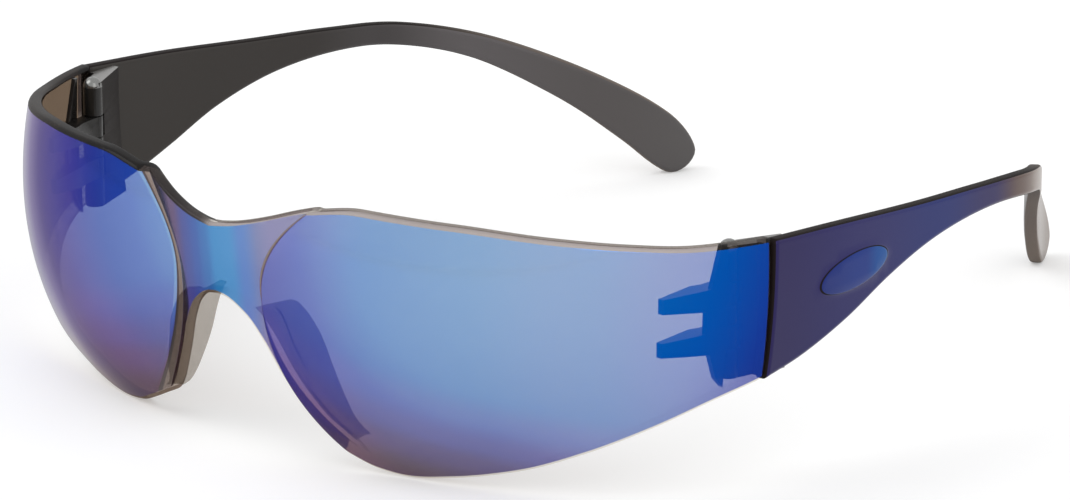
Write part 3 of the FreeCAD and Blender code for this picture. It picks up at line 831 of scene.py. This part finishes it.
def make_bracket():
    """The bracket's solid, merged and with its edges rounded."""
    mesh = bmesh.new()
    mesh.from_mesh(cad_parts["hinge_bracket_left"].data)
    bmesh.ops.remove_doubles(mesh, verts=mesh.verts, dist=0.002 * MM)
    bmesh.ops.dissolve_limit(mesh, angle_limit=math.radians(4.0), verts=mesh.verts,
                             edges=mesh.edges)
    piece = finished("hinge_plate_left", mesh)
    rounded_off(piece, BRACKET_ROUNDING, 35.0)
    return piece


# ---- materials ----

def new_material(name):
    material = bpy.data.materials.new(name)
    material.use_nodes = True
    tree = material.node_tree
    tree.nodes.clear()
    output = tree.nodes.new("ShaderNodeOutputMaterial")
    return material, tree, output


def node(tree, kind, **settings):
    """A new node. A setting with a capital is one of its inputs."""
    made = tree.nodes.new(kind)
    for key, value in settings.items():
        if key[0].isupper():
            made.inputs[key.replace("_", " ")].default_value = value
        else:
            setattr(made, key, value)
    return made


def add_sockets(tree, in_out, **kinds):
    """Named inputs or outputs of a group, such as Foot_Easing="Float"."""
    for name, kind in kinds.items():
        tree.interface.new_socket(name.replace("_", " "), in_out=in_out,
                                  socket_type="NodeSocket" + kind)


def feed(tree, socket, value):
    """Gives an input another node's output, a colour or a plain number."""
    if isinstance(value, bpy.types.NodeSocket):
        tree.links.new(value, socket)
    elif isinstance(value, tuple):
        socket.default_value = (*value, 1.0)
    else:
        socket.default_value = value


def number(tree, operation, *values):
    made = node(tree, "ShaderNodeMath", operation=operation)
    for socket, value in zip(made.inputs, values):
        feed(tree, socket, value)
    return made.outputs[0]


def colour_ramp(tree, factor, stops, interpolation="EASE"):
    made = tree.nodes.new("ShaderNodeValToRGB")
    made.color_ramp.interpolation = interpolation
    elements = made.color_ramp.elements
    while len(elements) > 1:
        elements.remove(elements[-1])
    elements[0].position = stops[0][0]
    elements[0].color = (*stops[0][1], 1.0)
    for position, colour in stops[1:]:
        elements.new(position).color = (*colour, 1.0)
    tree.links.new(factor, made.inputs["Fac"])
    return made.outputs["Color"]


def mix_colours(tree, factor, first, second, blend="MIX"):
    made = node(tree, "ShaderNodeMix", data_type="RGBA", blend_type=blend)
    for place, value in ((0, factor), (6, first), (7, second)):
        feed(tree, made.inputs[place], value)
    return made.outputs[2]


def model_axes(tree):
    """The place on the model, split into its X, Y and Z."""
    place = tree.nodes.new("ShaderNodeTexCoord")
    split = tree.nodes.new("ShaderNodeSeparateXYZ")
    tree.links.new(place.outputs["Object"], split.inputs[0])
    return split.outputs


def axis_share(tree, axis, low, high):
    """0 to 1 between two places along an axis of the model."""
    made = node(tree, "ShaderNodeMapRange", From_Min=low * MM, From_Max=high * MM)
    tree.links.new(model_axes(tree)[axis], made.inputs["Value"])
    return made.outputs["Result"]


def handling_marks():
    """Faint smears and a fine grain: how rough, and a height for bump."""
    group = bpy.data.node_groups.new("handling_marks", "ShaderNodeTree")
    add_sockets(group, "INPUT", Smear_Scale="Float", Roughness="Float", Smear="Float")
    add_sockets(group, "OUTPUT", Roughness="Float", Height="Float")
    inputs = group.nodes.new("NodeGroupInput")
    outputs = group.nodes.new("NodeGroupOutput")
    place = group.nodes.new("ShaderNodeTexCoord")
    smear = node(group, "ShaderNodeTexNoise", Detail=4.0, Roughness=0.6)
    grain = node(group, "ShaderNodeTexNoise", Scale=2600.0, Detail=2.0)
    for texture in (smear, grain):
        group.links.new(place.outputs["Object"], texture.inputs["Vector"])
    group.links.new(inputs.outputs["Smear Scale"], smear.inputs["Scale"])
    amount = number(group, "MULTIPLY_ADD", smear.outputs["Fac"], inputs.outputs["Smear"],
                    inputs.outputs["Roughness"])
    group.links.new(amount, outputs.inputs["Roughness"])
    group.links.new(grain.outputs["Fac"], outputs.inputs["Height"])
    return group


def add_marks(tree, principled, group, scale, roughness, smear, bump):
    marks = tree.nodes.new("ShaderNodeGroup")
    marks.node_tree = group
    for name, value in (("Smear Scale", scale), ("Roughness", roughness), ("Smear", smear)):
        marks.inputs[name].default_value = value
    tree.links.new(marks.outputs["Roughness"], principled.inputs["Roughness"])
    raised = node(tree, "ShaderNodeBump", Strength=bump, Distance=0.0002)
    tree.links.new(marks.outputs["Height"], raised.inputs["Height"])
    tree.links.new(raised.outputs["Normal"], principled.inputs["Normal"])


def see_through(tree, output, principled, tint, cover):
    """Covers a tinted clear body with the given share of the principled finish."""
    clear = tree.nodes.new("ShaderNodeBsdfTransparent")
    feed(tree, clear.inputs["Color"], tint)
    both = tree.nodes.new("ShaderNodeMixShader")
    feed(tree, both.inputs[0], cover)
    tree.links.new(clear.outputs[0], both.inputs[1])
    tree.links.new(principled.outputs[0], both.inputs[2])
    tree.links.new(both.outputs[0], output.inputs["Surface"])


def clouded(tree, colour, scale, detail, change):
    """The colour, a little darker and lighter in soft clouds."""
    cloud = node(tree, "ShaderNodeTexNoise", Scale=scale, Detail=detail)
    return colour_ramp(tree, cloud.outputs["Fac"], [
        (0.35, tuple((1 - change) * c for c in colour)),
        (0.65, tuple((1 + change) * c for c in colour))])


def smoke_body(name, marks, colour, tint, cover, roughness):
    """Clear smoke-tinted plastic with a polished skin."""
    material, tree, output = new_material(name)
    principled = node(tree, "ShaderNodeBsdfPrincipled")
    tree.links.new(clouded(tree, colour, 90.0, 2.0, 0.1), principled.inputs["Base Color"])
    add_marks(tree, principled, marks, 70.0, roughness, 0.05, 0.03)
    see_through(tree, output, principled, tint, cover)
    return material


def opaque(name, shade, marks, wear, **finish):
    """A solid finish. shade(tree) gives its colour, wear what add_marks takes."""
    material, tree, output = new_material(name)
    principled = node(tree, "ShaderNodeBsdfPrincipled", **finish)
    tree.links.new(shade(tree), principled.inputs["Base Color"])
    add_marks(tree, principled, marks, *wear)
    tree.links.new(principled.outputs[0], output.inputs["Surface"])
    return material


def solid_finish(name, marks, colour, roughness, metallic, gloss):
    """Solid plastic or metal of one colour."""
    return opaque(name, lambda tree: clouded(tree, colour, 120.0, 3.0, 0.08), marks,
                  (70.0, roughness, 0.06, 0.04), Metallic=metallic, Specular_IOR_Level=gloss)


# ---- finish of the lens ----
COAT_COVER = 0.62             # how much of the clear body the coat's shine covers
COAT_COVER_BEHIND = 0.08      # the same from the wearer's side
FILM_LEAN = 0.27              # the coat's bands, film colour and painted reflection, rise towards the middle by this slope
FILM_RISE = 30.0              # height above which the coat and its painted reflection are the same all over
FILM_BY_TILT = [
    (0.0, (0.0, 0.20, 0.71)), (0.10, (0.0, 0.155, 0.66)), (0.17, (0.0, 0.125, 0.63)),
    (0.28, (0.012, 0.065, 0.49)), (0.38, (0.02, 0.05, 0.42)), (0.50, (0.05, 0.04, 0.40)),
    (0.58, (0.07, 0.055, 0.39)), (0.70, (0.06, 0.02, 0.31)), (0.80, (0.14, 0.07, 0.40)),
    (0.87, (0.28, 0.22, 0.56)), (1.0, (0.32, 0.28, 0.58))]
TINT_BY_TILT = [
    (0.0, (0.72, 0.78, 0.47)), (0.17, (0.57, 0.73, 0.55)), (0.28, (0.40, 0.52, 0.59)),
    (0.38, (0.32, 0.43, 0.56)), (0.50, (0.30, 0.34, 0.42)), (0.58, (0.23, 0.21, 0.25)),
    (0.70, (0.14, 0.12, 0.14)), (0.85, (0.08, 0.08, 0.10))]
RIM_COVER = 0.06              # how much of the clear edge its own shine covers
RIM_COVER_ON_TOP = 0.25       # the same along the top, which begins at these heights
RIM_TOP_FROM = 26.5
RIM_TOP_FULL = 31.0
RIM_PAINTED_SHADE_SPAN = (-20.0, 5.0)  # the painted shade along the top changes between these places across
RIM_PAINTED_SHADE_SIDE_SPAN = (-1.0, 1.0)   # and the edge's painted shade ends between these, where it turns clear
SMOKE_TINT = (0.16, 0.115, 0.08)
BRIDGE_HALF_WIDTH = 9.0
# how much of the bridge coat's colour is painted reflection and shade
BRIDGE_PAINTED_REFLECTION_SHARE = 0.8
BRIDGE_TINT = (0.72, 0.84, 0.92)


def film_and_painted_reflection():
    """How the coat changes over the lens: of its film, and of what it lets through. Part is the
    film's own colour, part painted reflection, darker and warmer towards the bottom.
    """
    group = bpy.data.node_groups.new("film_and_painted_reflection", "ShaderNodeTree")
    add_sockets(group, "OUTPUT", Film="Color", Tint="Color")
    outputs = group.nodes.new("NodeGroupOutput")
    axes = model_axes(group)
    out = number(group, "ABSOLUTE", axes["X"])
    level = number(group, "MULTIPLY_ADD", out, FILM_LEAN, axes["Z"])
    share = number(group, "MULTIPLY", level, 1 / (FILM_RISE * MM))
    # film colour and painted reflection: darker and warmer towards the bottom
    film = colour_ramp(group, share, [
        (0.15, (0.9, 0.55, 0.22)), (0.34, (1.0, 0.75, 0.39)), (0.53, (1.0, 0.86, 0.66)),
        (0.66, (1.0, 0.93, 0.86)), (0.83, (1.0, 1.0, 1.0))])
    group.links.new(film, outputs.inputs["Film"])
    low = colour_ramp(group, share, [
        (0.15, (0.95, 0.68, 0.38)), (0.34, (1.30, 0.83, 0.48)), (0.53, (1.5, 0.88, 0.68)),
        (0.66, (1.38, 0.95, 0.86)), (0.83, (1.2, 1.0, 0.98)), (1.0, (1.0, 1.0, 1.0))])
    outward = number(group, "MULTIPLY", out, 1 / (SIDE_X * MM))
    sides = colour_ramp(group, outward, [
        (0.60, (1.0, 1.0, 1.0)), (0.80, (1.12, 1.0, 1.0)), (0.95, (1.32, 0.96, 1.0))])
    # a warmer tint near the nose, on the +X side alone
    by_nose = colour_ramp(group, axis_share(group, "X", 0.0, SIDE_X), [
        (0.10, (1.0, 1.0, 1.0)), (0.15, (1.35, 1.0, 1.0)), (0.25, (1.22, 1.0, 1.0)),
        (0.42, (1.0, 1.0, 1.0))])
    sides = mix_colours(group, 1.0, sides, by_nose, "MULTIPLY")
    group.links.new(mix_colours(group, 1.0, low, sides, "MULTIPLY"), outputs.inputs["Tint"])
    return group


def mirror_coat(name, marks, film, painted_reflection):
    """Mirror coat over smoke plastic; from behind only the smoke shows."""
    material, tree, output = new_material(name)
    facing = node(tree, "ShaderNodeLayerWeight", Blend=0.5).outputs["Facing"]
    coat = tree.nodes.new("ShaderNodeGroup")
    coat.node_tree = film
    colour = mix_colours(tree, 1.0, colour_ramp(tree, facing, FILM_BY_TILT, "LINEAR"),
                         coat.outputs["Film"], "MULTIPLY")
    tint = mix_colours(tree, 1.0, colour_ramp(tree, facing, TINT_BY_TILT, "LINEAR"),
                       coat.outputs["Tint"], "MULTIPLY")
    # painted_reflection, where given, paints reflection and shade into the coat's colour
    if painted_reflection:
        colour = painted_reflection(tree, colour)
        tint = mix_colours(tree, 1.0, tint, BRIDGE_TINT, "MULTIPLY")
    principled = node(tree, "ShaderNodeBsdfPrincipled", Metallic=1.0)
    tree.links.new(colour, principled.inputs["Base Color"])
    add_marks(tree, principled, marks, 40.0, 0.10, 0.06, 0.02)
    behind = tree.nodes.new("ShaderNodeNewGeometry").outputs["Backfacing"]
    cover = number(tree, "MULTIPLY_ADD", behind, COAT_COVER_BEHIND - COAT_COVER, COAT_COVER)
    see_through(tree, output, principled, mix_colours(tree, behind, tint, SMOKE_TINT), cover)
    return material


def bridge_painted_reflection(tree, colour):
    """The bridge's painted reflection and shade: light blue past its middle, violet towards the
    creases, darkest towards the wearer's right.
    """
    across = axis_share(tree, "X", -BRIDGE_HALF_WIDTH, BRIDGE_HALF_WIDTH)
    tone = colour_ramp(tree, across, [
        (0.0, (0.12, 0.03, 0.10)), (0.17, (0.02, 0.02, 0.30)), (0.30, (0.0, 0.05, 0.38)),
        (0.42, (0.0, 0.13, 0.46)), (0.55, (0.0, 0.28, 0.64)), (0.70, (0.0, 0.27, 0.65)),
        (0.84, (0.05, 0.12, 0.60)), (1.0, (0.16, 0.08, 0.38))])
    return mix_colours(tree, BRIDGE_PAINTED_REFLECTION_SHARE, colour, tone)


def lens_rim(name, marks):
    """The uncoated edge: clear, with painted shade along its top and its foot on the wearer's
    right.
    """
    material, tree, output = new_material(name)
    principled = node(tree, "ShaderNodeBsdfPrincipled", Base_Color=(0.03, 0.026, 0.026, 1.0))
    add_marks(tree, principled, marks, 60.0, 0.12, 0.05, 0.03)
    facing = node(tree, "ShaderNodeLayerWeight", Blend=0.5).outputs["Facing"]
    by_tilt = colour_ramp(tree, facing, [
        (0.0, (0.62, 0.56, 0.54)), (0.35, (0.50, 0.45, 0.44)), (0.52, (0.42, 0.37, 0.35)),
        (0.60, (0.46, 0.42, 0.39)), (0.66, (0.77, 0.74, 0.68)), (0.76, (0.79, 0.76, 0.70)),
        (0.95, (0.30, 0.27, 0.25))], "LINEAR")
    # painted shade: the top of the edge darkened on the wearer's right
    along = colour_ramp(tree, axis_share(tree, "X", *RIM_PAINTED_SHADE_SPAN), [
        (0.0, (0.10, 0.085, 0.08)), (0.45, (0.05, 0.045, 0.045)), (0.70, (0.12, 0.11, 0.11)),
        (0.90, (1.0, 1.0, 1.0))])
    on_top = axis_share(tree, "Z", RIM_TOP_FROM, RIM_TOP_FULL)
    unshaded_side = axis_share(tree, "X", *RIM_PAINTED_SHADE_SIDE_SPAN)
    top = mix_colours(tree, 1.0, by_tilt, mix_colours(tree, unshaded_side, along, (1.0, 1.0, 1.0)),
                      "MULTIPLY")
    # painted shade: the foot of the edge darker on the wearer's right
    foot = mix_colours(tree, unshaded_side, (0.50, 0.43, 0.38), (0.93, 0.91, 0.88))
    tint = mix_colours(tree, on_top, foot, top)
    cover = number(tree, "MULTIPLY_ADD", on_top, RIM_COVER_ON_TOP - RIM_COVER, RIM_COVER)
    see_through(tree, output, principled, tint, cover)
    return material


def lens_finishes(marks):
    """What the lens wears, in the order its faces number it."""
    film = film_and_painted_reflection()
    coat = mirror_coat("mirror_coat", marks, film, None)
    bridge_coat = mirror_coat("bridge_coat", marks, film, bridge_painted_reflection)
    inside_face = smoke_body("lens_inside", marks, (0.10, 0.09, 0.08), (0.97, 0.96, 0.95),
                             0.05, 0.08)
    wall = smoke_body("crease_wall", marks, (0.11, 0.075, 0.06), (0.36, 0.29, 0.26), 0.40, 0.12)
    # painted shade: a dark line at the foot of each crease wall
    foot = smoke_body("crease_painted_shade", marks, (0.03, 0.02, 0.02), (0.16, 0.12, 0.12), 0.50, 0.2)
    return coat, inside_face, lens_rim("lens_edge", marks), bridge_coat, wall, foot


# ---- finish of the temples ----

def along_temple(tree, stops):
    return colour_ramp(tree, axis_share(tree, "Y", TEMPLE_FRONT_Y, TEMPLE_END_Y), stops)


def temple_coat(name, marks, stops):
    """Mirror coat on the outside of a temple, its colour changing along it."""
    return opaque(name, lambda tree: along_temple(tree, stops), marks,
                  (50.0, 0.2, 0.08, 0.03), Metallic=0.75, Specular_IOR_Level=0.25,
                  Coat_Weight=0.1, Coat_Roughness=0.08)


def shaded_plastic(name, marks, stops, roughness, gloss):
    """Solid plastic whose colour changes along a temple: its own colour, with painted shade
    towards the front and painted light further back.
    """
    return opaque(name, lambda tree: along_temple(tree, stops), marks,
                  (70.0, roughness, 0.06, 0.04), Specular_IOR_Level=gloss)


def temple_finishes(marks):
    """What a temple blade wears, in the order its faces number it."""
    outside = temple_coat("temple_coat", marks, [
        (0.0, (0.024, 0.018, 0.088)), (0.18, (0.024, 0.022, 0.115)),
        (0.38, (0.014, 0.023, 0.14)), (0.50, (0.024, 0.018, 0.095)),
        (0.58, (0.10, 0.058, 0.045)), (0.66, (0.16, 0.098, 0.06)), (1.0, (0.22, 0.175, 0.145))])
    # inside face: smoke plastic with painted shade near the front and painted light further
    # back
    smoke = shaded_plastic("temple_smoke_painted_shade_and_light", marks, [
        (0.0, (0.036, 0.031, 0.027)), (0.42, (0.034, 0.029, 0.026)),
        (0.56, (0.056, 0.050, 0.050)), (0.70, (0.112, 0.102, 0.104)),
        (0.86, (0.096, 0.087, 0.086)), (1.0, (0.105, 0.098, 0.097))], 0.30, 0.22)
    # edges: painted shade, darkest towards the front, lighter towards the tip
    edge = shaded_plastic("temple_edge", marks, [
        (0.0, (0.014, 0.010, 0.010)), (0.60, (0.016, 0.013, 0.012)),
        (0.80, (0.14, 0.115, 0.10)), (1.0, (0.20, 0.165, 0.14))], 0.55, 0.05)
    medallion = temple_coat("medallion_coat", marks, [
        (0.10, (0.012, 0.026, 0.17)), (0.19, (0.010, 0.034, 0.21)),
        (0.225, (0.004, 0.07, 0.285)), (0.26, (0.0, 0.11, 0.345))])
    return outside, smoke, edge, medallion, edge


# ---- stage ----

def seen_by(tree, *rays):
    """1 for the kinds of ray that are named, otherwise 0."""
    path = tree.nodes.new("ShaderNodeLightPath").outputs
    seen = path[rays[0]]
    for ray in rays[1:]:
        seen = number(tree, "MAXIMUM", seen, path[ray])
    return seen


def make_floor():
    floor = bpy.data.meshes.new("floor")
    floor.from_pydata([(-6, -6, 0), (6, -6, 0), (6, 6, 0), (-6, 6, 0)], [], [(0, 1, 2, 3)])
    piece = in_scene("floor", floor)
    material, tree, output = new_material("pale_floor")
    diffuse = node(tree, "ShaderNodeBsdfDiffuse", Color=(*[FLOOR_SHADE] * 3, 1.0))
    glow = node(tree, "ShaderNodeEmission", Strength=1.0)
    direct = number(tree, "MULTIPLY", seen_by(tree, "Is Camera Ray", "Is Transmission Ray"),
                    FLOOR_GLOW)
    mirrored = number(tree, "MULTIPLY", seen_by(tree, "Is Glossy Ray"), FLOOR_GLOW_MIRRORED)
    tree.links.new(number(tree, "MAXIMUM", direct, mirrored), glow.inputs["Strength"])
    both = tree.nodes.new("ShaderNodeAddShader")
    tree.links.new(diffuse.outputs[0], both.inputs[0])
    tree.links.new(glow.outputs[0], both.inputs[1])
    tree.links.new(both.outputs[0], output.inputs["Surface"])
    floor.materials.append(material)


def make_light(name, place, aim, size, power):
    lamp = bpy.data.lights.new(name, "AREA")
    lamp.shape = "RECTANGLE"
    lamp.size, lamp.size_y = size
    lamp.energy = power
    holder = in_scene(name, lamp)
    holder.location = place
    holder.rotation_euler = (Vector(aim) - Vector(place)).to_track_quat("-Z", "Y").to_euler()


def make_stage():
    make_floor()
    world = bpy.data.worlds.new("studio")
    world.use_nodes = True
    tree = world.node_tree
    background = tree.nodes["Background"]
    background.inputs["Color"].default_value = (1.0, 1.0, 1.0, 1.0)
    seen = seen_by(tree, "Is Camera Ray", "Is Glossy Ray", "Is Transmission Ray")
    strength = number(tree, "MULTIPLY_ADD", seen, WORLD_SEEN - WORLD_LIGHT, WORLD_LIGHT)
    tree.links.new(strength, background.inputs["Strength"])
    bpy.context.scene.world = world
    make_light("key", (-0.9, -0.9, 1.3), (0, 0, 0.02), (1.2, 1.2), 9.0)
    make_light("fill", (1.4, -0.6, 0.8), (0, 0, 0.02), (1.0, 1.4), 4.0)
    camera = bpy.data.cameras.new("camera")
    camera.sensor_width = 36.0
    camera.lens = FOCAL_LENGTH
    camera.clip_start, camera.clip_end = 0.05, 50.0
    holder = in_scene("camera", camera)
    away = Vector((math.sin(VIEW_AZIMUTH) * math.cos(VIEW_ELEVATION),
                   -math.cos(VIEW_AZIMUTH) * math.cos(VIEW_ELEVATION),
                   math.sin(VIEW_ELEVATION)))
    holder.location = VIEW_TARGET + away * VIEW_DISTANCE
    holder.rotation_euler = away.to_track_quat("Z", "Y").to_euler()
    bpy.context.scene.camera = holder
    bpy.context.scene.view_settings.view_transform = "Standard"


# ---- the object ----

def clothe(piece, *materials):
    """Gives the piece its materials, in the order its faces number them."""
    slots = piece.data.materials
    for i, material in enumerate(materials):
        if i < len(slots):
            slots[i] = material
        else:
            slots.append(material)


def both_sides(left, name):
    """The left piece and its mirror image, with the side they are on."""
    return ((left, "left"), (mirror_image(left, name + "_right"), "right"))


def build():
    marks = handling_marks()
    nose = smoke_body("nose_smoke", marks, (0.40, 0.37, 0.34), (0.82, 0.79, 0.75), 0.30, 0.3)
    bracket = solid_finish("bracket_smoke", marks, (0.016, 0.015, 0.014), 0.16, 0.0, 0.35)
    hinge_side = solid_finish("hinge_side", marks, (0.022, 0.019, 0.018), 0.40, 0.0, 0.06)
    # the block's finish made lighter and glossier for its top: painted light
    hinge_top_painted_light = solid_finish("hinge_top_painted_light", marks, (0.12, 0.115, 0.11), 0.20, 0.0, 0.6)
    # a grey metal finish for the barrel's dome: painted highlight
    dome_highlight = solid_finish("painted_highlight_dome", marks, (0.22, 0.22, 0.215), 0.14, 0.85, 0.5)
    steel = solid_finish("pin_steel", marks, (0.55, 0.55, 0.56), 0.25, 1.0, 0.5)

    lens = make_lens()
    clothe(lens, *lens_finishes(marks))
    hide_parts("lens")
    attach(lens, "front")

    blade = make_temple_blade()
    clothe(blade, *temple_finishes(marks))
    block = make_hinge_block()
    clothe(block, hinge_side, hinge_top_painted_light)
    barrel = make_barrel(bracket, dome_highlight)
    for left, name in ((blade, "temple_blade"), (block, "hinge_block"),
                       (barrel, "hinge_barrel")):
        for piece, side in both_sides(left, name):
            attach(piece, "temple_" + side)
            if left is blade:
                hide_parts("temple_" + side)

    pad = make_nose_piece()
    clothe(pad, nose)
    plate = make_bracket()
    clothe(plate, bracket)
    for left, name, part, slot in ((pad, "nose_pad", "nose_piece_", "nose_piece"),
                                   (plate, "hinge_plate", "hinge_bracket_", "hinge_bracket")):
        for piece, side in both_sides(left, name):
            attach(piece, "front")
            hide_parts(part + side)
    for side in ("left", "right"):
        clothe(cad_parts["hinge_pin_" + side], steel)


build()
make_stage()
